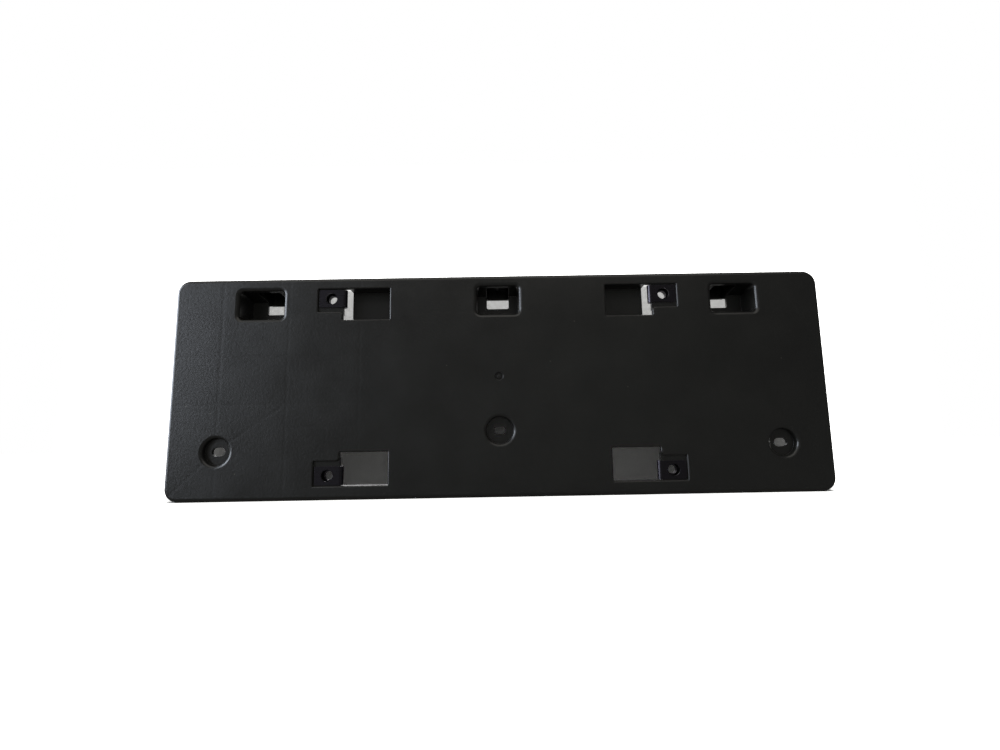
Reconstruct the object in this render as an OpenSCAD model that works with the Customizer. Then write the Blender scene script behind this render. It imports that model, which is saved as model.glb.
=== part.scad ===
// Number plate holder for a front bumper: one moulded plastic shell that carries
// four spring steel clip nuts for the screws of the plate.
// Millimetres. X runs to the right as seen from the front, Y runs back into the bumper, Z is up.
// The origin is the middle of the four plate screws, on the front face, where the plate lies.

/* [Face] */
// Width of the face
face_w = 406; // [396:1:430]
// Height of the face
face_h = 138; // [136:1:150]
// How far the middle of the face lies below the middle of the plate screws
face_drop = 0.5; // [0:0.1:1]
// Thickness of the face wall
face_t = 2.5; // [2:0.1:3]
// Corner radius of the face's outline
corner_r = 8.5; // [6:0.5:14]
// Radius of the rounded edge round the front
edge_r = 2.5; // [1:0.1:3]

/* [Skirt and ribs] */
// Thickness of the skirt round the edge
skirt_t = 2.2; // [1.8:0.1:3]
// Depth of the holder at its middle, from the face to the bumper
depth = 18; // [17:0.5:24]
// Radius of the bumper surface that the skirt and the ribs follow
bumper_r = 4000; // [3000:100:8000]
// Thickness of the ribs behind the face
rib_t = 1.6; // [1.2:0.1:2]
// Distance of the upright ribs beside the openings from the middle
rib_inner_x = 86.5; // [80:0.5:92]
// Distance of the upright ribs beside the side hooks from the middle
rib_outer_x = 131; // [128:0.5:131]
// Height of the top rib above the plate screws' middle
rib_top_z = 45.2; // [43:0.2:48]
// Height of the rib above the middle
rib_upper_z = 18.3; // [14:0.1:22]
// Height of the rib just below the middle
rib_middle_z = -11.1; // [-14:0.1:-6]
// Height of the low rib between the outer upright ribs
rib_low_z = -25.4; // [-28:0.1:-22]

/* [Plate screws] */
// Sideways distance between the plate screws
screw_dx = 210; // [206:1:214]
// Distance from the face's upper and lower edges to the plate screws, at their mean
screw_margin = 14; // [12:0.5:16]
// Hole through each tab for the screw
tab_hole_d = 8; // [7.4:0.1:8.4]

/* [Clip seats and openings] */
// Distance from a screw to the free edge of its tab
tab_reach = 7.5; // [7:0.1:9]
// Thickness of the tab
tab_t = 2.5; // [2:0.1:3.5]
// Depth of the seat below the face
seat_depth = 1.5; // [1.3:0.1:1.8]
// Distance from a screw to the outer end of its seat
seat_reach = 8.2; // [8:0.1:9.4]
// Height of the seat from the screw to its outer side
seat_up = 6.2; // [6:0.1:6.4]
// Height of the seat from the screw to its inner side
seat_down = 8.6; // [7:0.1:9]
// Width of the opening beside a seat
opening_w = 29.4; // [22:0.1:32]
// Height of the opening beside a seat
opening_h = 20; // [18:0.1:21]
// Radius of the step between a seat and its opening
step_r = 2.5; // [1:0.1:3]
// Rounding of the edges round the seats and openings
lip_r = 0.8; // [0.4:0.1:1]
// Thickness of the wall round an opening
opening_wall = 1.5; // [1.2:0.1:2]
// Depth of the closed upper openings
closed_depth = 10; // [8:0.5:11]
// Thickness of the floor of the closed upper openings
closed_floor_t = 1.8; // [1.2:0.1:2.4]
// Gap left beside the tab by that floor
tab_gap = 3.6; // [3:0.1:5]
// Depth of the wall round the lower openings
rim_depth = 9; // [4:0.1:11]

/* [Hook pockets] */
// Distance of the side pockets from the middle
pocket_x = 149; // [147:0.5:154]
// Width of the side pockets
pocket_w = 28; // [25:0.5:29]
// Width of the middle pocket
middle_pocket_w = 26.2; // [22:0.1:29]
// Height of the pockets
pocket_h = 18; // [16:0.5:19]
// Distance from the top of the face to the top of the pockets
pocket_margin = 7.9; // [7.4:0.1:9]
// How much higher the middle pocket lies
middle_pocket_rise = 0.9; // [0:0.1:1.2]
// Thickness of the pockets' walls and floors
pocket_wall = 1.8; // [1.4:0.1:2]
// Corner radius of the pockets
pocket_corner_r = 2.5; // [1.5:0.1:3]
// Rounding of the pockets' front edges
pocket_edge_r = 2.4; // [1:0.1:2.5]
// How far a pocket's roof slopes down on its way back
roof_drop = 2.4; // [0:0.1:3]
// Width of the window in a pocket's floor
window_w = 14.4; // [13:0.1:17]
// Height of the window's lower edge above the bottom of the pocket
window_sill = 7.2; // [5:0.1:8]
// Corner radius of the window
window_corner_r = 1.2; // [0.5:0.1:2]

/* [Hooks] */
// Distance of the side hooks from the middle
hook_x = 146; // [145:0.5:150]
// Gap between the bumper surface and the hook's lip
hook_grip = 6; // [4:0.5:8]
// Thickness of the hook's lip
hook_lip_t = 3; // [2:0.1:4]
// How far the middle lip hangs down from the top of the holder
middle_hook_drop = 9.5; // [8:0.1:10]
// How far the side lips hang down from it
side_hook_drop = 10.5; // [8:0.1:11.5]
// Bevel on the tip of the lip
hook_bevel = 1.2; // [0.5:0.1:1.5]
// Thickness of the hook's side walls
hook_wall = 1.4; // [1:0.1:2]
// How much lower those walls reach at the pocket's floor than at the lip
hook_wall_drop = 1.9; // [0:0.1:3]
// Rounding of the upright corners between the lip and the side walls
hook_corner_r = 2; // [0.5:0.1:3]

/* [Bumper screw pockets] */
// Distance of the side screw pockets from the middle
bumper_screw_x = 172.7; // [170:0.1:178]
// Height of the side screw pockets
bumper_screw_z = -39.7; // [-44:0.1:-36]
// Height of the middle screw pocket
middle_screw_z = -29.5; // [-36:0.1:-26]
// Inner diameter of the screw pockets
screw_pocket_d = 16.3; // [15:0.1:18]
// Rounding of the screw pockets' front edge
screw_edge_r = 2; // [1:0.1:2.4]
// Wall of the cup round each screw pocket
barrel_wall = 1.8; // [1.4:0.1:2.4]
// Depth of the screw pockets
screw_pocket_depth = 4; // [3.5:0.1:6]
// Thickness of the floor that the screw's head clamps
screw_floor_t = 2.2; // [1.8:0.1:3]
// Length of the side screw slots
slot_l = 8.2; // [7:0.1:10]
// Width of the side screw slots
slot_w = 5.1; // [5:0.1:6.4]
// Length of the middle screw slot
middle_slot_l = 6.2; // [5.6:0.1:10]
// Width of the middle screw slot
middle_slot_w = 4.1; // [4:0.1:6]
// Corner radius of the middle screw slot
middle_slot_r = 1.2; // [0.6:0.1:1.8]

/* [Gate mark] */
// Height of the gate mark above the plate screws' middle
gate_z = 3.7; // [3.4:0.1:8]
// Diameter of the gate mark's dimple
gate_d = 5.4; // [4:0.1:6]
// Depth of the dimple
gate_depth = 0.9; // [0.5:0.1:1.2]
// Diameter of the nub left in the dimple
gate_nub_d = 2; // [1:0.1:2.5]

/* [Clip nuts] */
// Thickness of the spring steel
steel_t = 0.8; // [0.6:0.1:1]
// Height of a clip
clip_h = 11.2; // [10:0.1:11.6]
// Length of the front leg from the tab's edge
front_leg = 15; // [13:0.1:15.1]
// Length of the back leg from the tab's edge
back_leg = 13; // [12:0.1:15]
// Clearance between the clip and each side of the tab
clip_fit = 0.05; // [0:0.01:0.1]
// Hole in the front leg
front_hole_d = 7.2; // [6.4:0.1:7.4]
// Core diameter of the thread in the nut barrel
thread_d = 5.3; // [4:0.1:5.6]
// Outer diameter of the nut barrel
nut_d = 8.6; // [7.6:0.1:10]
// Length of the nut barrel behind the back leg
nut_l = 2.6; // [2.4:0.1:5]
// Corner radius of the legs' free ends
leg_corner_r = 1; // [0.4:0.1:2]
// Length of the lead-in at the end of the back leg
lead_in = 2.4; // [1:0.1:3]
// Angle of that lead-in
lead_in_angle = 20; // [10:1:30]

/* [Hidden] */
$fn = 64;
// Sides of the bumper's very large round, so that its chords stay close to it
bumper_fn = 720;
// How far cutting shapes run past what they cut, and joining shapes run into it
over = 1;
join = 0.5;

plastic_black = [0.07, 0.07, 0.08];
steel_grey = [0.24, 0.24, 0.26];

face_top = face_h / 2 - face_drop;
skirt_top = face_top - skirt_t;
back_most = depth + bumper_depth(face_w / 2) + over;

screw_dz = face_h - 2 * screw_margin;
screw_x = screw_dx / 2;
screw_z = screw_dz / 2;
tab_edge_x = screw_x - tab_reach;
tab_back = seat_depth + tab_t;
opening_in_x = tab_edge_x - opening_w;
opening_out_z = screw_z + seat_up;
opening_in_z = opening_out_z - opening_h;
seat_in_z = screw_z - seat_down;
seat_out_x = screw_x + seat_reach;

pocket_top_z = face_top - pocket_margin;
barrel_d = screw_pocket_d + 2 * barrel_wall;

// Where the bumper surface lies behind the middle's depth, at x from the middle
function bumper_depth(x) = bumper_r - sqrt(bumper_r * bumper_r - x * x);

// Heights of the top and the middle of the pocket at x
function pocket_top(x) = pocket_top_z + (x == 0 ? middle_pocket_rise : 0);
function pocket_mid(x) = pocket_top(x) - pocket_h / 2;

// Gives a flat outline, drawn as x and z, a body from depth y0 to depth y1
module slab(y0, y1) {
    translate([0, y1, 0]) rotate([90, 0, 0]) linear_extrude(height = y1 - y0) children();
}

// Rectangle with round corners about the origin
module rounded(w, h, r) {
    square([w - 2 * r, h], center = true);
    square([w, h - 2 * r], center = true);
    for (x = [-1, 1], y = [-1, 1]) translate([x * (w / 2 - r), y * (h / 2 - r)]) circle(r);
}

// Slot with round ends along x
module slot_2d(l, w) {
    square([l - w, w], center = true);
    for (side = [-1, 1]) translate([side * (l - w) / 2, 0]) circle(d = w);
}

// Bar between two points, as thick as a rib
module rib(p, q) {
    run = q - p;
    translate(p) rotate(atan2(run[1], run[0])) translate([0, -rib_t / 2]) square([norm(run), rib_t]);
}

// Section of what a rounded edge takes away: x goes into the material, y into the depth
module edge_section(r) {
    difference() {
        translate([-over, -over]) square(r + over);
        translate([r, r]) circle(r);
    }
}

// Rounds the front edge between two points, with the material on the right of the way from p to q
module edge_run(p, q, r) {
    run = q - p;
    translate([p[0], 0, p[1]]) rotate([0, -atan2(run[1], run[0]), 0])
        rotate([0, 90, 0]) linear_extrude(height = norm(run)) edge_section(r);
}

// Rounds the front edge of a quarter circle that bulges towards a corner of the sheet: side 1 is
// material inside the circle, side -1 is material outside it, and turn picks the quarter
module edge_corner(centre, c, r, side, turn) {
    translate([centre[0], 0, centre[1]]) rotate([0, turn, 0]) rotate([-90, 0, 0])
        rotate_extrude(angle = 90) translate([c, 0]) mirror([side > 0 ? 1 : 0, 0]) edge_section(r);
}

// Rounds the whole front edge of a rounded rectangle, either a plate (side 1) or a hole (side -1)
module edge_loop(w, h, c, r, side) {
    a = w / 2;
    b = h / 2;
    for (turn = [0, 90, 180, 270]) {
        u = turn % 180 == 0 ? a : b;
        v = turn % 180 == 0 ? b : a;
        rotate([0, turn, 0]) {
            edge_corner([u - c, -v + c], c, r, side, 0);
            if (side > 0) edge_run([-u + c, v], [u - c, v], r);
            else edge_run([u - c, v], [-u + c, v], r);
        }
    }
}

// What is drawn for the upper right clip seat, at all four seats
module at_corners() {
    for (x = [0, 1], z = [0, 1]) mirror([x, 0, 0]) mirror([0, 0, z]) children();
}

// What is drawn for the right side, on both sides
module both_sides() {
    for (x = [0, 1]) mirror([x, 0, 0]) children();
}

module both_sides_2d() {
    for (x = [0, 1]) mirror([x, 0]) children();
}

module outline_2d(inset) {
    translate([0, -face_drop]) rounded(face_w - 2 * inset, face_h - 2 * inset, corner_r - inset);
}

// Opening beside the upper right seat, grown by a wall and stopped short of the tab by a gap
module opening_2d(wall, gap) {
    translate([opening_in_x - wall, opening_in_z - wall])
        square([opening_w + wall - gap, opening_h + 2 * wall]);
}

// Seat of the upper right clip, with its round step into the opening
module seat_2d() {
    translate([tab_edge_x, seat_in_z]) square([seat_out_x - tab_edge_x, opening_out_z - seat_in_z]);
    difference() {
        translate([tab_edge_x, seat_in_z - step_r]) square(step_r);
        translate([tab_edge_x + step_r, seat_in_z - step_r]) circle(step_r);
    }
}

// Upright ribs stop short of this space behind a clip and its opening
module clip_room_2d() {
    translate([opening_in_x - opening_wall, opening_in_z - opening_wall])
        square([seat_out_x + pocket_wall - opening_in_x + opening_wall, opening_h + 2 * opening_wall]);
}

module ribs_2d() {
    edge_x = face_w / 2 - skirt_t / 2;
    top = face_top - skirt_t / 2;
    bottom = top - face_h + skirt_t;
    side_screw = [bumper_screw_x, bumper_screw_z];
    corner = [face_w / 2 - corner_r, bottom + corner_r];
    rib([0, bottom], [0, top]);
    rib([-edge_x, rib_top_z], [edge_x, rib_top_z]);
    rib([-edge_x, rib_upper_z], [edge_x, rib_upper_z]);
    rib([-edge_x, rib_middle_z], [edge_x, rib_middle_z]);
    rib([-rib_outer_x, rib_low_z], [rib_outer_x, rib_low_z]);
    both_sides_2d() {
        rib([rib_inner_x, bottom], [rib_inner_x, top]);
        rib([rib_outer_x, bottom], [rib_outer_x, top]);
        rib([bumper_screw_x, bottom], [bumper_screw_x, top]);
        rib([rib_outer_x, rib_middle_z], side_screw);
        rib(side_screw, corner + [corner_r, -corner_r] * sqrt(0.5));
    }
}

module screw_spots_2d(d) {
    translate([0, middle_screw_z]) circle(d = d);
    both_sides_2d() translate([bumper_screw_x, bumper_screw_z]) circle(d = d);
}

module pocket_spots_2d(wall) {
    r = pocket_corner_r + wall;
    translate([0, pocket_mid(0)]) rounded(middle_pocket_w + 2 * wall, pocket_h + 2 * wall, r);
    both_sides_2d() translate([pocket_x, pocket_mid(pocket_x)]) rounded(pocket_w + 2 * wall, pocket_h + 2 * wall, r);
}

// Everything that reaches back to the bumper: skirt, ribs and pocket walls
module lattice_2d() {
    difference() {
        union() {
            difference() {
                outline_2d(0);
                outline_2d(skirt_t);
            }
            difference() {
                ribs_2d();
                both_sides_2d() {
                    clip_room_2d();
                    mirror([0, 1]) clip_room_2d();
                }
            }
            pocket_spots_2d(pocket_wall);
        }
        screw_spots_2d(screw_pocket_d);
        pocket_spots_2d(0);
    }
}

// The bumper's surface, as the solid that the holder stops at
module bumper() {
    translate([0, depth + bumper_r, 0])
        cylinder(r = bumper_r, h = 2 * face_h, center = true, $fn = bumper_fn);
}

// Floor behind a hook pocket, flush with the bumper surface at its middle
module pocket_floor(x, w) {
    back = depth + bumper_depth(x);
    translate([x, 0, pocket_mid(x)]) slab(back - pocket_wall, back)
        rounded(w + pocket_wall, pocket_h + pocket_wall, pocket_corner_r);
}

// What the sloping roof leaves solid at the top of a pocket
module pocket_roof(x, w) {
    back = depth + bumper_depth(x) - pocket_wall / 2;
    translate([x, 0, pocket_top(x)]) rotate([90, 0, 90])
        linear_extrude(height = w + pocket_wall, center = true)
            polygon([[face_t, join], [face_t, 0], [back, -roof_drop], [back, join]]);
}

// Window in a pocket's floor, open through the roof as well so that the hook can be moulded
module window(x) {
    back = depth + bumper_depth(x);
    top = pocket_top(x) + pocket_wall + join;
    h = pocket_h - window_sill + pocket_wall + join;
    translate([x, 0, top - h / 2]) slab(face_t + pocket_edge_r / 2, back + over)
        rounded(window_w, h, window_corner_r);
}

// Hook behind a window: a small box, open below, of an arm that runs on from the top of the
// skirt, a lip that hangs down from it, and side walls that start beside the slot in the roof
module hook(x, drop) {
    back = depth + bumper_depth(x);
    lip = back + hook_grip;
    lip_back = lip + hook_lip_t;
    tip = face_top - drop;
    roof = pocket_top(x) + join;
    translate([x, 0, 0]) {
        rotate([90, 0, 90]) linear_extrude(height = window_w + 2 * hook_wall, center = true)
            polygon([
                [back - 2 * skirt_t, face_top],
                [lip_back, face_top],
                [lip_back, tip + hook_bevel],
                [lip_back - hook_bevel, tip],
                [lip, tip],
                [lip, skirt_top],
                [back - 2 * skirt_t, skirt_top]
            ]);
        for (side = [0, 1]) mirror([side, 0, 0]) {
            translate([(window_w + hook_wall) / 2, 0, 0])
                rotate([90, 0, 90]) linear_extrude(height = hook_wall, center = true)
                    polygon([
                        [face_t - join, roof],
                        [back - join, roof],
                        [back - join, tip - hook_wall_drop],
                        [back, tip - hook_wall_drop],
                        [lip, tip],
                        [lip + join, tip],
                        [lip + join, skirt_top + join],
                        [face_t - join, skirt_top + join]
                    ]);
            translate([window_w / 2 - hook_corner_r, lip - hook_corner_r, tip])
                linear_extrude(height = skirt_top + join - tip) difference() {
                    square(hook_corner_r + join);
                    circle(hook_corner_r);
                }
        }
    }
}

// Pad behind the upper right seat that makes its tab
module tab_pad() {
    wall = pocket_wall;
    translate([tab_edge_x, 0, seat_in_z - wall]) slab(seat_depth, tab_back)
        square([seat_out_x - tab_edge_x + wall, opening_out_z - seat_in_z + 2 * wall]);
}

// Walls and floor of the closed opening on the upper right, which leave a gap beside the tab
module closed_opening() {
    slab(face_t - join, closed_depth + closed_floor_t) opening_2d(opening_wall, tab_gap);
}

// Walls of the open one on the lower right, drawn as if it were the upper one
module open_rim() {
    slab(face_t - join, rim_depth) opening_2d(opening_wall, 0);
}

// Rounded front edge of a seat and its opening, walked anticlockwise with the material on the right
module seat_edges() {
    step = [tab_edge_x + step_r, seat_in_z - step_r];
    edge_run([opening_in_x, opening_in_z], [tab_edge_x, opening_in_z], lip_r);
    edge_run([tab_edge_x, opening_in_z], [tab_edge_x, step[1]], lip_r);
    edge_run([step[0], seat_in_z], [seat_out_x, seat_in_z], lip_r);
    edge_run([seat_out_x, seat_in_z], [seat_out_x, opening_out_z], lip_r);
    edge_run([seat_out_x, opening_out_z], [opening_in_x, opening_out_z], lip_r);
    edge_run([opening_in_x, opening_out_z], [opening_in_x, opening_in_z], lip_r);
    edge_corner(step, step_r, lip_r, 1, 180);
}

// Cuts for a bumper screw: pocket with a rounded edge, and the slot in its floor, given as children
module screw_cut(x, z) {
    translate([x, 0, z]) {
        slab(-over, screw_pocket_depth) circle(d = screw_pocket_d);
        rotate([-90, 0, 0]) rotate_extrude() translate([screw_pocket_d / 2, 0]) edge_section(screw_edge_r);
        slab(0, screw_pocket_depth + screw_floor_t + over) children();
    }
}

// Cuts for a hook pocket: the pocket through the face, with its rounded edge
module pocket_cut(x, w) {
    translate([x, 0, pocket_mid(x)]) {
        slab(-over, face_t + join) rounded(w, pocket_h, pocket_corner_r);
        edge_loop(w, pocket_h, pocket_corner_r, pocket_edge_r, -1);
    }
}

// Mark left by the moulding gate: a dimple with a small nub in it
module gate_cut() {
    translate([0, 0, gate_z]) rotate([-90, 0, 0]) difference() {
        translate([0, 0, -over]) cylinder(d = gate_d, h = gate_depth + over);
        cylinder(d = gate_nub_d, h = gate_depth + over);
        rotate_extrude() translate([gate_d / 2, gate_depth]) circle(r = gate_depth * 0.6, $fn = 32);
    }
}

module holder_body() {
    color(plastic_black) difference() {
        union() {
            difference() {
                union() {
                    slab(0, face_t) outline_2d(0);
                    slab(face_t - join, back_most) lattice_2d();
                }
                bumper();
                translate([0, 0, -face_drop]) edge_loop(face_w, face_h, corner_r, edge_r, 1);
            }
            slab(face_t - join, screw_pocket_depth + screw_floor_t) screw_spots_2d(barrel_d);
            pocket_floor(0, middle_pocket_w);
            pocket_roof(0, middle_pocket_w);
            for (side = [-1, 1]) {
                pocket_floor(side * pocket_x, pocket_w);
                pocket_roof(side * pocket_x, pocket_w);
            }
            hook(0, middle_hook_drop);
            for (x = [-hook_x, hook_x]) hook(x, side_hook_drop);
            at_corners() tab_pad();
            both_sides() {
                closed_opening();
                mirror([0, 0, 1]) open_rim();
            }
        }
        screw_cut(0, middle_screw_z) rounded(middle_slot_l, middle_slot_w, middle_slot_r);
        for (side = [-1, 1]) {
            screw_cut(side * bumper_screw_x, bumper_screw_z) slot_2d(slot_l, slot_w);
            pocket_cut(side * pocket_x, pocket_w);
        }
        pocket_cut(0, middle_pocket_w);
        for (x = [-hook_x, 0, hook_x]) window(x);
        both_sides() {
            slab(-over, closed_depth) opening_2d(0, 0);
            mirror([0, 0, 1]) slab(-over, rim_depth + over) opening_2d(0, 0);
        }
        at_corners() {
            slab(-over, seat_depth) seat_2d();
            seat_edges();
            translate([screw_x, 0, screw_z]) slab(0, tab_back + over) circle(d = tab_hole_d);
        }
        gate_cut();
    }
}

// Section of a clip seen from above, with its bend at the tab's edge and its legs running outwards
module clip_section() {
    inner_r = tab_t / 2 + clip_fit;
    outer_r = inner_r + steel_t;
    difference() {
        circle(outer_r);
        circle(inner_r);
        translate([0, -outer_r - over]) square([outer_r + over, 2 * (outer_r + over)]);
    }
    translate([0, -outer_r]) square([front_leg, steel_t]);
    translate([0, inner_r]) square([back_leg, steel_t]);
    translate([back_leg, inner_r]) rotate(lead_in_angle) square([lead_in, steel_t]);
}

// One folded spring steel clip with its drawn and tapped nut barrel, for the upper right tab
module clip_nut() {
    back = tab_back + clip_fit;
    reach = back_leg + lead_in;
    color(steel_grey) translate([tab_edge_x, 0, screw_z]) difference() {
        union() {
            intersection() {
                translate([0, seat_depth + tab_t / 2, 0])
                    linear_extrude(height = clip_h, center = true) clip_section();
                translate([(front_leg - tab_t - leg_corner_r) / 2, 0, 0])
                    slab(-over, back) rounded(front_leg + tab_t + leg_corner_r, clip_h, leg_corner_r);
            }
            intersection() {
                translate([0, seat_depth + tab_t / 2, 0])
                    linear_extrude(height = clip_h, center = true) clip_section();
                translate([(reach - tab_t - leg_corner_r) / 2, 0, 0])
                    slab(seat_depth + tab_t / 2, back + 2 * nut_l)
                        rounded(reach + tab_t + leg_corner_r, clip_h, leg_corner_r);
            }
            translate([tab_reach, 0, 0]) slab(back + steel_t / 2, back + steel_t + nut_l) circle(d = nut_d);
        }
        translate([tab_reach, 0, 0]) {
            slab(-over, seat_depth + tab_t / 2) circle(d = front_hole_d);
            slab(seat_depth, back + steel_t + nut_l + over) circle(d = thread_d);
        }
    }
}

holder_body();
mirror([1, 0, 0]) clip_nut();  // clip_nut_upper_left
clip_nut();  // clip_nut_upper_right
mirror([1, 0, 0]) mirror([0, 0, 1]) clip_nut();  // clip_nut_lower_left
mirror([0, 0, 1]) clip_nut();  // clip_nut_lower_right
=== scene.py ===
# %% [markdown]
# The number plate holder, finished in Blender.
# The holder is one black plastic moulding with four steel clip nuts pushed onto it. Its exact
# solids come from the CAD model, and this lesson gives them their surfaces, adds the fine screw
# threads, and lights and photographs them. The first step is always to load the frame, because
# every place below is worked out from it.

# %% Load the frame
import math

import bmesh
import bpy
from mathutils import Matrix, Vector


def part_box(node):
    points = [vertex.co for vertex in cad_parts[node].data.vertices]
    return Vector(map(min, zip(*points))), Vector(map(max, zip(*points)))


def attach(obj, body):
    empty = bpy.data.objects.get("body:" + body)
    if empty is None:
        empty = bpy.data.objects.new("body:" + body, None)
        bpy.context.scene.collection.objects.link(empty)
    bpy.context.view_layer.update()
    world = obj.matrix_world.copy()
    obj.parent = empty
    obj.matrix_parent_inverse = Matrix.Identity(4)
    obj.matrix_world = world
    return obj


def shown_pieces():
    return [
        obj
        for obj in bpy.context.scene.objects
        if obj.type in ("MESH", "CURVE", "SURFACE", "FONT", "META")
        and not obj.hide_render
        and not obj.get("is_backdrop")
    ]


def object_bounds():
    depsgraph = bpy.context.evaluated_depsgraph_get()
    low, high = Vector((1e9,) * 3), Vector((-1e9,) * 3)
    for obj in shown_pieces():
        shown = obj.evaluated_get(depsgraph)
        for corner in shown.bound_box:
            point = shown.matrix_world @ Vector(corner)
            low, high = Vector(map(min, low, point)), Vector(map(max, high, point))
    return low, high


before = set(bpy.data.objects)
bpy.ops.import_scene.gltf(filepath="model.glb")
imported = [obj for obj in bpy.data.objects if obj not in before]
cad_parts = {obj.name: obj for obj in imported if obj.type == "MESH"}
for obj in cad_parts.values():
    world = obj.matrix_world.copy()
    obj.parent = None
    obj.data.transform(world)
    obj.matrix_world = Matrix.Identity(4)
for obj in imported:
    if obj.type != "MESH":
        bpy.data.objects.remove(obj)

MM = 0.001
scene = bpy.context.scene
cad_low, cad_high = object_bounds()
body_low, body_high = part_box("holder_body")
print("Solids loaded:", ", ".join(sorted(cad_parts)))

# %% [markdown]
# Blender works in metres, and the sizes of a small part read better in millimetres. One constant
# turns one into the other, and a printed size shows at once if it was forgotten somewhere.

# %% Measure what was loaded
size_mm = (cad_high - cad_low) / MM
print("Size in millimetres:", [round(side, 1) for side in size_mm])

# %% [markdown]
# The camera comes first, because everything is judged through it. It stands close, about 31 cm in
# front of the face and a little below its middle, so a wide lens of 18 mm takes in the whole width.
# It looks up by some 8 degrees, which makes the upright edges lean inwards towards the top.

# %% Camera
camera_place_mm = Vector((-0.58, -306.4, -36.77))
camera_tilt_up = 7.658
camera_roll = 1.0
camera_turn = -0.094

camera_data = bpy.data.cameras.new("camera")
camera_data.lens = 18
camera_data.sensor_width = 36
camera_data.clip_start = 10 * MM
camera = bpy.data.objects.new("camera", camera_data)
camera.location = camera_place_mm * MM
camera_angles = (90 + camera_tilt_up, camera_roll, camera_turn)
camera.rotation_euler = [math.radians(angle) for angle in camera_angles]
scene.collection.objects.link(camera)
scene.camera = camera
scene.view_settings.view_transform = "Standard"
print("Camera at", [round(value, 3) for value in camera.location])

# %% [markdown]
# Every finish below is a network of nodes. It could be wired line by line, but then the wiring
# hides the idea. One small function adds a node, sets its properties and feeds its inputs, from a
# plain value or from another node's output.

# %% Helpers for materials
def add(tree, kind, settings=None, inputs=None):
    """Adds a node, with its settings, and its inputs fed by values or by other sockets."""
    node = tree.nodes.new(kind)
    for name, value in (settings or {}).items():
        setattr(node, name, value)
    for name, value in (inputs or {}).items():
        socket = node.inputs[name]
        if isinstance(value, bpy.types.NodeSocket):
            tree.links.new(value, socket)
        else:
            socket.default_value = value
    return node


def linear(hex_colour):
    """Turns an sRGB colour such as #1c1c1a into the linear values that a shader works with."""
    shares = [int(hex_colour[start:start + 2], 16) / 255 for start in (1, 3, 5)]
    return [s / 12.92 if s <= 0.04045 else ((s + 0.055) / 1.055) ** 2.4 for s in shares] + [1.0]


def new_material(name):
    """Starts a material, and returns it with its node tree and its main shader."""
    material = bpy.data.materials.new(name)
    material.use_nodes = True
    tree = material.node_tree
    return material, tree, tree.nodes["Principled BSDF"]


print("A mid grey of #808080 is", round(linear("#808080")[0], 3), "in linear light")

# %% [markdown]
# The holder is moulded in black polypropylene. Its mould was left matt by spark erosion where the
# face is, and plainly milled everywhere else, so the face scatters light and the rounded lips of
# the pockets are smoother and catch bright crescents. The ribs behind the face pull it in a few
# hundredths of a millimetre as the plastic cools. Those sink lines could be cut into the solid, but
# they are far too shallow, so they are drawn as height for a Bump node.

# %% Places of the ribs that draw the sink lines
face_half_w = 203.0
face_top_z = 68.5
face_bottom_z = -69.5
rib_x = (0.0, 86.5, 131.0, 172.7)
rib_z = (45.2, 18.3, -11.1)
low_rib_z = -25.4
side_screw = (172.7, -39.7)
lower_corner = (200.5, -67.0)
sink_half_width = 1.7
sink_depth = 0.024

sink_runs = [((x, face_bottom_z), (x, face_top_z)) for x in rib_x]
sink_runs += [((0.0, z), (face_half_w, z)) for z in rib_z]
sink_runs.append(((0.0, low_rib_z), (rib_x[2], low_rib_z)))
sink_runs.append(((rib_x[2], rib_z[2]), side_screw))
sink_runs.append((side_screw, lower_corner))
print(len(sink_runs), "sink lines on each half of the face")


# %% Height of the sink lines
def sink_height(tree, spot, half_width):
    """How deep each point lies in its nearest sink line, from 0 beside it to 1 in its middle."""
    deepest = None
    for start, end in sink_runs:
        p = Vector((start[0], start[1], 0.0))
        run = Vector((end[0], end[1], 0.0)) - p
        along = run.normalized()
        away = add(tree, "ShaderNodeVectorMath", {"operation": "SUBTRACT"}, {0: spot, 1: p}).outputs[0]
        share = add(tree, "ShaderNodeVectorMath", {"operation": "DOT_PRODUCT"}, {0: away, 1: along})
        kept = add(tree, "ShaderNodeClamp", {}, {
            "Value": share.outputs["Value"], "Min": 0.0, "Max": run.length})
        foot = add(tree, "ShaderNodeVectorMath", {"operation": "SCALE"}, {
            0: along, "Scale": kept.outputs[0]})
        gap = add(tree, "ShaderNodeVectorMath", {"operation": "DISTANCE"}, {
            0: away, 1: foot.outputs[0]})
        depth = add(tree, "ShaderNodeMapRange", {"interpolation_type": "SMOOTHSTEP"}, {
            "Value": gap.outputs["Value"], "From Min": half_width, "From Max": 0.0})
        if deepest is None:
            deepest = depth.outputs[0]
        else:
            deepest = add(tree, "ShaderNodeMath", {"operation": "MAXIMUM"}, {
                0: deepest, 1: depth.outputs[0]}).outputs[0]
    return deepest


print("Each sink line is", 2 * sink_half_width, "mm wide and", sink_depth, "mm deep")

# %% [markdown]
# Now the plastic itself. Polypropylene has an index of about 1.49, so it mirrors only 4 percent of
# what stands before it, and its own black is darker still. That is why a black part shows its room
# more than its colour. Roughness decides how broad the sheen is: about 0.36 on the eroded face and
# 0.3 on the plain walls and lips. The grain of spark erosion is about 0.2 mm, finer than a pixel, so
# it is drawn three times as coarse. A mottle of 1.6 mm stands for the patches that the eye sees in
# such a grain. It is drawn deeper than a true one, or so soft a sheen would not show it.

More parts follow.
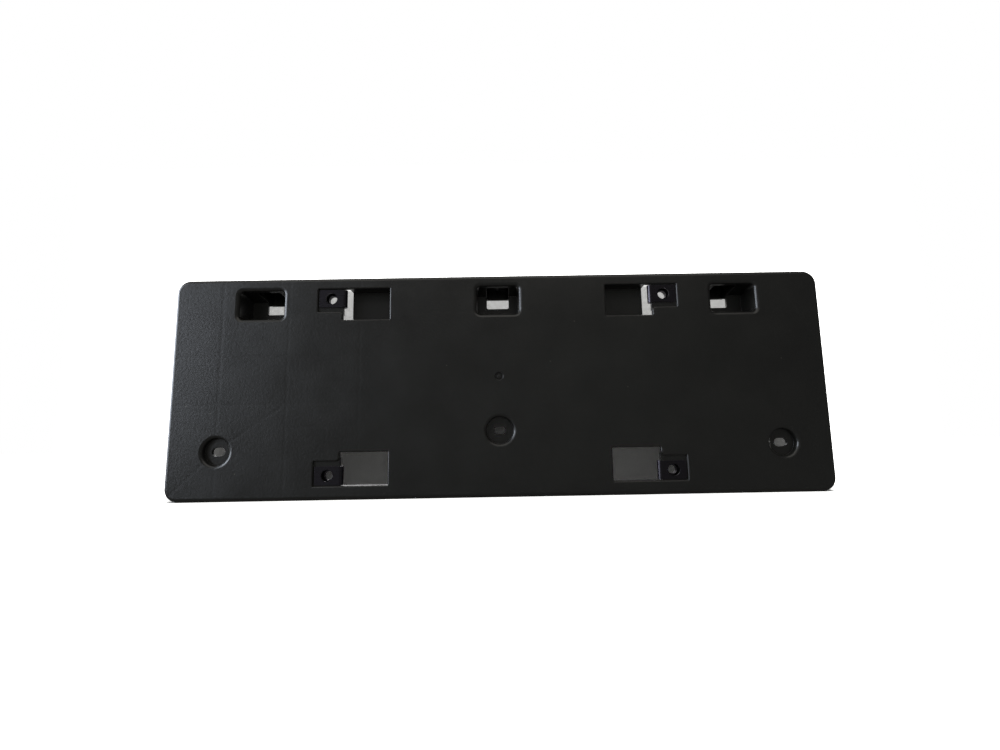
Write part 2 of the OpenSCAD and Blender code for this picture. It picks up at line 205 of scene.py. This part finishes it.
# %% Values of the plastic's surface, with lengths in millimetres
polypropylene_ior = 1.49
grain_size = 0.6
grain_height = 0.012
mottle_size = 1.6
mottle_height = 0.11
cloud_size = 25
plain_relief_share = 0.2
eroded_roughness = (0.3, 0.41)
plain_roughness = (0.26, 0.34)
eroded_depth = 0.1
eroded_normal_y = (-0.97, -0.995)
patch_mottle_share = 0.6
patch_range = (0.5, 1.1)
# The next two set the edge band painted lighter, as wear and as a painted highlight.
edge_wear_and_highlight_r = 0.35
edge_wear_and_highlight_likeness = (0.97, 0.8)
dust_cell = 16
dust_r = 0.4
dust_core_r = 0.25
dust_share = 0.06
print("Grain of", grain_size, "mm,", grain_height, "mm high, and mottle of", mottle_size, "mm")


# %% Black moulded polypropylene
def make_polypropylene():
    material, tree, shader = new_material("black_moulded_polypropylene")
    shader.inputs["IOR"].default_value = polypropylene_ior

    place = add(tree, "ShaderNodeTexCoord")
    millimetres = add(tree, "ShaderNodeVectorMath", {"operation": "SCALE"}, {
        0: place.outputs["Object"], "Scale": 1 / MM}).outputs[0]
    axes = add(tree, "ShaderNodeSeparateXYZ", {}, {0: millimetres})
    facing = add(tree, "ShaderNodeSeparateXYZ", {}, {0: place.outputs["Normal"]})

    # The eroded texture covers only what lies at the very front and faces forwards, within some 6
    # degrees in full and up to 14 degrees in part.
    square_on = add(tree, "ShaderNodeMapRange", {}, {
        "Value": facing.outputs["Y"],
        "From Min": eroded_normal_y[0], "From Max": eroded_normal_y[1]}).outputs[0]
    at_front = add(tree, "ShaderNodeMath", {"operation": "LESS_THAN"}, {
        0: axes.outputs["Y"], 1: eroded_depth})
    face = add(tree, "ShaderNodeMath", {"operation": "MULTIPLY"}, {
        0: square_on, 1: at_front.outputs[0]}).outputs[0]

    side = add(tree, "ShaderNodeMath", {"operation": "ABSOLUTE"}, {0: axes.outputs["X"]})
    spot = add(tree, "ShaderNodeCombineXYZ", {}, {
        "X": side.outputs[0], "Y": axes.outputs["Z"]}).outputs[0]
    sink = sink_height(tree, spot, sink_half_width)
    front_sink = add(tree, "ShaderNodeMath", {"operation": "MULTIPLY"}, {0: sink, 1: face}).outputs[0]

    grain = add(tree, "ShaderNodeTexNoise", {}, {
        "Vector": millimetres, "Scale": 1 / grain_size, "Detail": 2.0, "Roughness": 0.6}).outputs[0]
    clouds = add(tree, "ShaderNodeTexNoise", {}, {
        "Vector": millimetres, "Scale": 1 / cloud_size, "Detail": 3.0}).outputs[0]
    mottle = add(tree, "ShaderNodeTexNoise", {}, {
        "Vector": millimetres, "Scale": 1 / mottle_size, "Detail": 3.0, "Roughness": 0.7}).outputs[0]

    # A few specks of dust. Each cell of the pattern has one candidate, and few of them are kept.
    flat = add(tree, "ShaderNodeCombineXYZ", {}, {"X": axes.outputs["X"], "Y": axes.outputs["Z"]})
    dust = add(tree, "ShaderNodeTexVoronoi", {"voronoi_dimensions": "2D"}, {
        "Vector": flat.outputs[0], "Scale": 1 / dust_cell})
    chosen = add(tree, "ShaderNodeSeparateColor", {}, {0: dust.outputs["Color"]})
    near = add(tree, "ShaderNodeMapRange", {}, {
        "Value": dust.outputs["Distance"],
        "From Min": dust_r / dust_cell, "From Max": dust_core_r / dust_cell})
    kept = add(tree, "ShaderNodeMath", {"operation": "GREATER_THAN"}, {
        0: chosen.outputs["Red"], 1: 1 - dust_share})
    speck = add(tree, "ShaderNodeMath", {"operation": "MULTIPLY"}, {
        0: near.outputs[0], 1: kept.outputs[0]})
    front_speck = add(tree, "ShaderNodeMath", {"operation": "MULTIPLY"}, {
        0: speck.outputs[0], 1: face}).outputs[0]

    # The sharp edges are painted a little lighter, partly as rubbing from handling and partly as a
    # painted highlight along each edge. The Bevel node rounds the normals near an edge, so where they
    # differ from the true ones there is an edge.
    rounded = add(tree, "ShaderNodeBevel", {"samples": 4}, {"Radius": edge_wear_and_highlight_r * MM})
    geometry = add(tree, "ShaderNodeNewGeometry")
    likeness = add(tree, "ShaderNodeVectorMath", {"operation": "DOT_PRODUCT"}, {
        0: rounded.outputs[0], 1: geometry.outputs["True Normal"]})
    wear_and_highlight = add(tree, "ShaderNodeMapRange", {}, {
        "Value": likeness.outputs["Value"],
        "From Min": edge_wear_and_highlight_likeness[0], "From Max": edge_wear_and_highlight_likeness[1]}).outputs[0]

    black = add(tree, "ShaderNodeMix", {"data_type": "RGBA"}, {
        "Factor": clouds, 6: linear("#111110"), 7: linear("#151513")}).outputs[2]
    # Painted highlight and wear: the edges take the lighter colour #1a1a1c.
    rubbed_and_highlit = add(tree, "ShaderNodeMix", {"data_type": "RGBA"}, {
        "Factor": wear_and_highlight, 6: black, 7: linear("#1a1a1c")}).outputs[2]
    dusty = add(tree, "ShaderNodeMix", {"data_type": "RGBA"}, {
        "Factor": front_speck, 6: rubbed_and_highlit, 7: linear("#45433e")}).outputs[2]
    tree.links.new(dusty, shader.inputs["Base Color"])

    # The face is rougher in patches, large ones from the clouds and small ones from the mottle.
    patches = add(tree, "ShaderNodeMath", {"operation": "MULTIPLY_ADD"}, {
        0: mottle, 1: patch_mottle_share, 2: clouds})
    eroded = add(tree, "ShaderNodeMapRange", {}, {
        "Value": patches.outputs[0], "From Min": patch_range[0], "From Max": patch_range[1],
        "To Min": eroded_roughness[0], "To Max": eroded_roughness[1]})
    plain = add(tree, "ShaderNodeMapRange", {}, {
        "Value": mottle, "To Min": plain_roughness[0], "To Max": plain_roughness[1]})
    roughness = add(tree, "ShaderNodeMix", {"data_type": "FLOAT"}, {
        "Factor": face, 2: plain.outputs[0], 3: eroded.outputs[0]}).outputs[0]
    tree.links.new(roughness, shader.inputs["Roughness"])

    # All heights are added up in millimetres. Plain walls get a fifth of the face's relief.
    fine = add(tree, "ShaderNodeMath", {"operation": "MULTIPLY"}, {0: grain, 1: grain_height}).outputs[0]
    eroded_height = add(tree, "ShaderNodeMath", {"operation": "MULTIPLY_ADD"}, {
        0: mottle, 1: mottle_height, 2: fine}).outputs[0]
    plain_height = add(tree, "ShaderNodeMath", {"operation": "MULTIPLY"}, {
        0: eroded_height, 1: plain_relief_share}).outputs[0]
    texture = add(tree, "ShaderNodeMix", {"data_type": "FLOAT"}, {
        "Factor": face, 2: plain_height, 3: eroded_height}).outputs[0]
    sunk = add(tree, "ShaderNodeMath", {"operation": "MULTIPLY_ADD"}, {
        0: front_sink, 1: -sink_depth, 2: texture}).outputs[0]
    relief = add(tree, "ShaderNodeBump", {}, {
        "Strength": 1.0, "Distance": MM, "Height": sunk, "Normal": rounded.outputs[0]})
    tree.links.new(relief.outputs[0], shader.inputs["Normal"])
    return material


polypropylene = make_polypropylene()
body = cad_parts["holder_body"]
for material_slot in body.material_slots:
    material_slot.material = polypropylene
print("Body finished in", polypropylene.name, "with", len(polypropylene.node_tree.nodes), "nodes")

# %% [markdown]
# The clip nuts are folded from hardened spring steel and blackened by heat, which leaves a dark
# skin with a purple cast. The strip was rolled, so fine lines run along it, and it was cut to
# width, so its two long edges are barer than its faces. A metal's colour is its reflection, so
# this base colour is what the white room looks like in it. The rolling lines are drawn coarser than
# the real ones.

# %% Values of the steel's surface, with lengths in millimetres
rolling_gap = 0.4
rolling_length = 12
rolling_height = 0.004
temper_size = 6
steel_edge_r = 0.12
steel_roughness = (0.22, 0.36)
cut_edge_normal_z = (0.75, 0.95)
print("Rolling lines", rolling_gap, "mm apart and", rolling_length, "mm long")


# %% Heat-blackened spring steel
def make_spring_steel():
    material, tree, shader = new_material("heat_blackened_spring_steel")
    shader.inputs["Metallic"].default_value = 1.0

    place = add(tree, "ShaderNodeTexCoord")
    millimetres = add(tree, "ShaderNodeVectorMath", {"operation": "SCALE"}, {
        0: place.outputs["Object"], "Scale": 1 / MM}).outputs[0]
    facing = add(tree, "ShaderNodeSeparateXYZ", {}, {0: place.outputs["Normal"]})

    # The strip runs left and right, so the noise is stretched along X and Y and dense along Z.
    stretched = add(tree, "ShaderNodeVectorMath", {"operation": "MULTIPLY"}, {
        0: millimetres, 1: (1 / rolling_length, 1 / rolling_length, 1 / rolling_gap)}).outputs[0]
    rolling = add(tree, "ShaderNodeTexNoise", {}, {
        "Vector": stretched, "Scale": 1.0, "Detail": 2.0}).outputs[0]
    temper = add(tree, "ShaderNodeTexNoise", {}, {
        "Vector": millimetres, "Scale": 1 / temper_size, "Detail": 2.0}).outputs[0]

    skin = add(tree, "ShaderNodeMix", {"data_type": "RGBA"}, {
        "Factor": temper, 6: linear("#403d44"), 7: linear("#3c3b3e")}).outputs[2]
    # The cut edges are the ones that face up and down.
    edge_side = add(tree, "ShaderNodeMath", {"operation": "ABSOLUTE"}, {0: facing.outputs["Z"]})
    cut_edge = add(tree, "ShaderNodeMapRange", {}, {
        "Value": edge_side.outputs[0],
        "From Min": cut_edge_normal_z[0], "From Max": cut_edge_normal_z[1]}).outputs[0]
    colour = add(tree, "ShaderNodeMix", {"data_type": "RGBA"}, {
        "Factor": cut_edge, 6: skin, 7: linear("#8f8b92")}).outputs[2]
    tree.links.new(colour, shader.inputs["Base Color"])

    roughness = add(tree, "ShaderNodeMapRange", {}, {
        "Value": rolling, "To Min": steel_roughness[0], "To Max": steel_roughness[1]})
    tree.links.new(roughness.outputs[0], shader.inputs["Roughness"])
    rounded = add(tree, "ShaderNodeBevel", {"samples": 4}, {"Radius": steel_edge_r * MM})
    lines = add(tree, "ShaderNodeMath", {"operation": "MULTIPLY"}, {
        0: rolling, 1: rolling_height}).outputs[0]
    relief = add(tree, "ShaderNodeBump", {}, {
        "Strength": 1.0, "Distance": MM, "Height": lines, "Normal": rounded.outputs[0]})
    tree.links.new(relief.outputs[0], shader.inputs["Normal"])
    return material


spring_steel = make_spring_steel()
clip_names = sorted(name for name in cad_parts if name.startswith("clip_nut"))
for name in clip_names:
    for material_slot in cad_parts[name].material_slots:
        material_slot.material = spring_steel
print("Clips finished:", ", ".join(clip_names))

# %% [markdown]
# Each clip's barrel is tapped with an M6 thread. In the solid it is a plain bore, because such a
# fine thread would cost more faces than the rest of the clip. Here it is real geometry: one ridge
# with a flat crest, swept along a helix and faded out at both ends, as a tap leaves it. A bump map
# would look the same from the front, but not to someone who looks down the bore.

# %% Bare tapped steel
thread_pitch = 1.0
thread_turns = 2.4
bore_r = 2.65
thread_height = 0.2
thread_base = 0.8
thread_crest = 0.2
thread_root_in_wall = 0.04
thread_fade_share = 0.25
steps_per_turn = 40
chatter_gap = 0.3
chatter_height = 0.004
chatter_strength = 0.6
tapped_roughness = (0.28, 0.42)


def make_tapped_steel():
    material, tree, shader = new_material("bare_tapped_steel")
    shader.inputs["Metallic"].default_value = 1.0
    place = add(tree, "ShaderNodeTexCoord")
    # The tap chatters as it cuts, which leaves fine ripples.
    chatter = add(tree, "ShaderNodeTexNoise", {}, {
        "Vector": place.outputs["Object"], "Scale": 1 / (chatter_gap * MM), "Detail": 2.0}).outputs[0]
    colour = add(tree, "ShaderNodeMix", {"data_type": "RGBA"}, {
        "Factor": chatter, 6: linear("#6d6a6c"), 7: linear("#858284")}).outputs[2]
    roughness = add(tree, "ShaderNodeMapRange", {}, {
        "Value": chatter, "To Min": tapped_roughness[0], "To Max": tapped_roughness[1]})
    relief = add(tree, "ShaderNodeBump", {}, {
        "Strength": chatter_strength, "Distance": chatter_height * MM, "Height": chatter})
    tree.links.new(colour, shader.inputs["Base Color"])
    tree.links.new(roughness.outputs[0], shader.inputs["Roughness"])
    tree.links.new(relief.outputs[0], shader.inputs["Normal"])
    return material


tapped_steel = make_tapped_steel()
print("Thread of", thread_turns, "turns,", thread_pitch, "mm apart")


# %% Screw threads in the barrels
def make_thread(name, centre_x, centre_z, start_y):
    """Sweeps the thread's ridge along a right-handed helix round a bore, in millimetres."""
    mesh = bpy.data.meshes.new(name)
    shape = bmesh.new()
    steps = int(thread_turns * steps_per_turn)
    rings = []
    for step in range(steps + 1):
        turn = 2 * math.pi * step / steps_per_turn
        along = step / steps
        fade = min(1.0, along / thread_fade_share, (1 - along) / thread_fade_share)
        crest_r = bore_r - thread_height * fade
        wall_r = bore_r + thread_root_in_wall
        y = start_y + thread_pitch * step / steps_per_turn
        section = (
            (wall_r, -thread_base / 2),
            (crest_r, -thread_crest / 2),
            (crest_r, thread_crest / 2),
            (wall_r, thread_base / 2),
        )
        rings.append([
            shape.verts.new(Vector((
                centre_x + r * math.cos(turn), y + shift, centre_z + r * math.sin(turn))) * MM)
            for r, shift in section
        ])
    corners = len(rings[0])
    for first, second in zip(rings, rings[1:]):
        for i in range(corners):
            j = (i + 1) % corners
            shape.faces.new((first[i], second[i], second[j], first[j]))
    shape.faces.new(rings[0])
    shape.faces.new(reversed(rings[-1]))
    bmesh.ops.recalc_face_normals(shape, faces=shape.faces)
    # The ridge shades smoothly along the helix, and its four long edges stay sharp.
    along_helix = {frozenset((a[i], b[i])) for a, b in zip(rings, rings[1:]) for i in range(corners)}
    for face in shape.faces:
        face.smooth = True
    for edge in shape.edges:
        edge.smooth = frozenset(edge.verts) not in along_helix
    shape.to_mesh(mesh)
    shape.free()
    thread = bpy.data.objects.new(name, mesh)
    thread.data.materials.append(tapped_steel)
    scene.collection.objects.link(thread)
    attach(thread, "root")
    return thread


screw_x = 105.0
screw_z = 55.0
barrel_front_y = 4.05
thread_start_lap = 0.1
thread_start_y = barrel_front_y + thread_base / 2 - thread_start_lap
for level, z in (("upper", screw_z), ("lower", -screw_z)):
    for hand, x in (("left", -screw_x), ("right", screw_x)):
        thread = make_thread(f"thread_{level}_{hand}", x, z, thread_start_y)
        print(thread.name, "has", len(thread.data.polygons), "faces")

# %% [markdown]
# The holder stands on a white table, close in front of a white sheet. The sheet shows through the
# windows, slots and openings. The holder keeps the light off it, less near its top edge than low
# down, so the top windows look light grey and the lower openings dark. That pattern tells the eye
# that the holes go right through. The sheet would be in the way of a camera that looks at the
# back, so its rear side is see-through. Only the camera and mirrored rays see it, so it casts no
# shadow and adds nothing to the soft light. Behind the holder it takes the light as it comes.
# Around that patch its colour is painted brighter, up to the full white of the world beyond, and
# this painted light hides the holder's shadow there. The table's colour is painted brighter in the
# same way from some 35 cm away, where its lamp's light runs out.

# %% Table and backdrop
pale_colour = "#e6e6e4"
table_own_colour = "#a8a8a6"
floor_z = body_low.z
table_reach = 4.0
table_near_r = 0.35
table_far_r = 0.6
sheet_y = 45 * MM
sheet_half_w = 0.31
sheet_top_z = 0.17
table_gain = 4.5
sheet_gain = 2.15
# The next four set the painted light around the holder: its strength and the patch it spares.
painted_light_gain = 16.0
behind_half_w = 0.222
behind_top_z = 0.08
sheet_fade = 0.014
weave_size = 2 * MM
weave_contrast = 0.12
weave_noise = (0.3, 0.7)


def pale_with_painted_light(tree, bare, near_gain):
    """A pale colour brightened by near_gain, and far more, as painted light, where the share bare is 1.
    """
    gain = add(tree, "ShaderNodeMapRange", {}, {
        "Value": bare, "To Min": near_gain, "To Max": painted_light_gain})
    return add(tree, "ShaderNodeVectorMath", {"operation": "SCALE"}, {
        0: linear(pale_colour)[:3], "Scale": gain.outputs[0]}).outputs[0]


def new_stage_material(name):
    """Starts a material without any shader, and returns it with its empty node tree."""
    material = bpy.data.materials.new(name)
    material.use_nodes = True
    material.node_tree.nodes.clear()
    return material, material.node_tree


def make_white_table():
    """A matt white that the camera sees brighter than the holder does, like an overexposed white, and
    painted brighter still, as painted light, from some 35 cm out.
    """
    material, tree = new_stage_material("white_table")
    place = add(tree, "ShaderNodeTexCoord")
    away = add(tree, "ShaderNodeVectorMath", {"operation": "LENGTH"}, {0: place.outputs["Object"]})
    # From some 35 cm out the colour is painted brighter, as painted light where the lamp's light runs
    # out.
    bare = add(tree, "ShaderNodeMapRange", {"interpolation_type": "SMOOTHSTEP"}, {
        "Value": away.outputs["Value"], "From Min": table_near_r, "From Max": table_far_r})
    path = add(tree, "ShaderNodeLightPath")
    tint = add(tree, "ShaderNodeMix", {"data_type": "RGBA"}, {
        "Factor": path.outputs["Is Camera Ray"], 6: linear(table_own_colour),
        7: pale_with_painted_light(tree, bare.outputs[0], table_gain)}).outputs[2]
    shader = add(tree, "ShaderNodeBsdfDiffuse", {}, {"Color": tint}).outputs[0]
    add(tree, "ShaderNodeOutputMaterial", {}, {"Surface": shader})
    return material


def make_white_sheet():
    """A woven white sheet, as pale as the table except behind the holder, around which painted light
    brightens it.
    """
    material, tree = new_stage_material("white_sheet")
    place = add(tree, "ShaderNodeTexCoord")
    axes = add(tree, "ShaderNodeSeparateXYZ", {}, {0: place.outputs["Object"]})
    side = add(tree, "ShaderNodeMath", {"operation": "ABSOLUTE"}, {0: axes.outputs["X"]})
    # Beside and above the patch behind the holder the colour is painted far brighter, as painted light
    # that hides the holder's shadow there.
    beside = add(tree, "ShaderNodeMapRange", {}, {
        "Value": side.outputs[0], "From Min": behind_half_w - sheet_fade, "From Max": behind_half_w})
    above = add(tree, "ShaderNodeMapRange", {}, {
        "Value": axes.outputs["Z"], "From Min": behind_top_z - sheet_fade / 2, "From Max": behind_top_z})
    bare = add(tree, "ShaderNodeMath", {"operation": "MAXIMUM"}, {
        0: beside.outputs[0], 1: above.outputs[0]})

    # A coarse weave, with faint light and dark specks.
    weave = add(tree, "ShaderNodeTexNoise", {}, {
        "Vector": place.outputs["Object"], "Scale": 1 / weave_size, "Detail": 2.0}).outputs[0]
    specks = add(tree, "ShaderNodeMapRange", {}, {
        "Value": weave, "From Min": weave_noise[0], "From Max": weave_noise[1],
        "To Min": 1 - weave_contrast, "To Max": 1 + weave_contrast})
    cloth = add(tree, "ShaderNodeVectorMath", {"operation": "SCALE"}, {
        0: pale_with_painted_light(tree, bare.outputs[0], sheet_gain), "Scale": specks.outputs[0]})
    pale = add(tree, "ShaderNodeBsdfDiffuse", {}, {"Color": cloth.outputs[0]}).outputs[0]
    geometry = add(tree, "ShaderNodeNewGeometry")
    clear = add(tree, "ShaderNodeBsdfTransparent").outputs[0]
    shader = add(tree, "ShaderNodeMixShader", {}, {
        0: geometry.outputs["Backfacing"], 1: pale, 2: clear}).outputs[0]
    add(tree, "ShaderNodeOutputMaterial", {}, {"Surface": shader})
    return material


def make_panel(name, start, end, half_w, material):
    """A flat panel from one point of y and z to another, and half_w to either side."""
    mesh = bpy.data.meshes.new(name)
    points = [(side * half_w, y, z) for y, z in (start, end) for side in (-1, 1)]
    mesh.from_pydata(points, [], [(0, 1, 3, 2)])
    mesh.materials.append(material)
    panel = bpy.data.objects.new(name, mesh)
    scene.collection.objects.link(panel)
    panel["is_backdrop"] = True
    return panel


table = make_panel(
    "table", (-table_reach, floor_z), (table_reach, floor_z), table_reach, make_white_table())
sheet = make_panel(
    "backdrop", (sheet_y, floor_z), (sheet_y, sheet_top_z), sheet_half_w, make_white_sheet())
for ray in ("visible_diffuse", "visible_transmission", "visible_shadow"):
    setattr(sheet, ray, False)
print("Table at", round(floor_z / MM, 1), "mm, sheet", round(sheet_y / MM), "mm behind the face")

# %% [markdown]
# The world is white to the camera. In reflections it is white behind and beside the holder but dim
# in front of it and above, as if the photographer stood in a dark room, because a black face that
# mirrors a white room turns grey. The direction that a reflection looks in is the Generated
# coordinate of the world. As plain light the world is weak and even. Cycles would normally pick
# bright parts of the world by itself and skip the test for reflections, so that sampling is off.

# %% World
world = bpy.data.worlds.new("world")
scene.world = world
world.use_nodes = True
world.cycles.sampling_method = "NONE"
world_tree = world.node_tree
world_tree.nodes.clear()
ambient_level = 0.12
front_level = 0.1
dim_direction = Vector((0.55, -0.7, 0.45)).normalized()
dim_full_angle = 50
dim_edge_angle = 95

path = add(world_tree, "ShaderNodeLightPath")
look = add(world_tree, "ShaderNodeTexCoord").outputs["Generated"]
share = add(world_tree, "ShaderNodeVectorMath", {"operation": "DOT_PRODUCT"}, {
    0: look, 1: dim_direction}).outputs["Value"]
mirrored = add(world_tree, "ShaderNodeMapRange", {"interpolation_type": "SMOOTHSTEP"}, {
    "Value": share,
    "From Min": math.cos(math.radians(dim_full_angle)),
    "From Max": math.cos(math.radians(dim_edge_angle)),
    "To Min": front_level, "To Max": 1.0}).outputs[0]
ambient = [value * ambient_level for value in linear("#ffffff")[:3]] + [1.0]
in_mirror = add(world_tree, "ShaderNodeMix", {"data_type": "RGBA"}, {
    "Factor": path.outputs["Is Glossy Ray"], 6: ambient, 7: mirrored}).outputs[2]
shown = add(world_tree, "ShaderNodeMath", {"operation": "ADD", "use_clamp": True}, {
    0: path.outputs["Is Camera Ray"], 1: path.outputs["Is Transmission Ray"]}).outputs[0]
world_colour = add(world_tree, "ShaderNodeMix", {"data_type": "RGBA"}, {
    "Factor": shown, 6: in_mirror, 7: linear("#ffffff")}).outputs[2]
sky = add(world_tree, "ShaderNodeBackground", {}, {"Color": world_colour, "Strength": 1.0}).outputs[0]
add(world_tree, "ShaderNodeOutputWorld", {}, {"Surface": sky})
print("Ambient light of", ambient_level, "and", front_level, "in the mirror of the face")

# %% [markdown]
# Two large windows stand far round to the left. The matt face mirrors the nearer one in a broad
# sheen, strongest at the left end and gone by the middle, and every rounded lip that faces left
# catches both as a bright crescent. The ceiling lamp draws a second, weaker sheen along the top of
# the face. The fill lamp lights the insides of the pockets, and is hidden from reflections, or it
# would grey the face. One lamp lights the back. The last one hangs over the table and reaches the
# sheet behind the top windows, but not lower down, where the holder shades it.

# %% Lamps
def soft_box(name, place, size, card_level, colour):
    """An area lamp that lights a white card at the origin, turned towards it, to the given level."""
    data = bpy.data.lights.new(name, "AREA")
    data.shape = "RECTANGLE"
    data.size, data.size_y = size
    run = -Vector(place)
    data.energy = card_level * math.pi ** 2 * run.length_squared
    data.color = linear(colour)[:3]
    lamp = bpy.data.objects.new(name, data)
    lamp.location = place
    lamp.rotation_euler = run.to_track_quat("-Z", "Y").to_euler()
    scene.collection.objects.link(lamp)
    print(name, "gives", round(data.energy, 1), "watts")
    return lamp


def light_only(lamp, things):
    """Lets a lamp light the given objects and nothing else."""
    lit = bpy.data.collections.new(lamp.name + "_lights")
    for thing in things:
        lit.objects.link(thing)
    lamp.light_linking.receiver_collection = lit


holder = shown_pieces()
window_lamp = soft_box(
    "window_lamp", place=(-1.5, -0.47, 0.25), size=(1.6, 1.2), card_level=1.3, colour="#e8f1ff")
far_window_lamp = soft_box(
    "far_window_lamp", place=(-1.5, 0.15, 0.2), size=(0.9, 1.2), card_level=0.8, colour="#e8f1ff")
ceiling_lamp = soft_box(
    "ceiling_lamp", place=(0.0, -0.7, 1.0), size=(1.4, 1.0), card_level=0.3, colour="#fffaf2")
fill_lamp = soft_box(
    "fill_lamp", place=(0.15, -1.0, -0.02), size=(0.6, 0.6), card_level=0.8, colour="#ffffff")
fill_lamp.visible_glossy = False
rear_lamp = soft_box(
    "rear_lamp", place=(-0.7, 1.5, 1.1), size=(0.8, 0.8), card_level=1.0, colour="#ffffff")
for lamp in (window_lamp, far_window_lamp, ceiling_lamp, fill_lamp, rear_lamp):
    light_only(lamp, holder)
top_lamp = soft_box(
    "top_lamp", place=(0.0, -0.8, 1.2), size=(0.3, 0.3), card_level=0.35, colour="#ffffff")
light_only(top_lamp, (table, sheet))
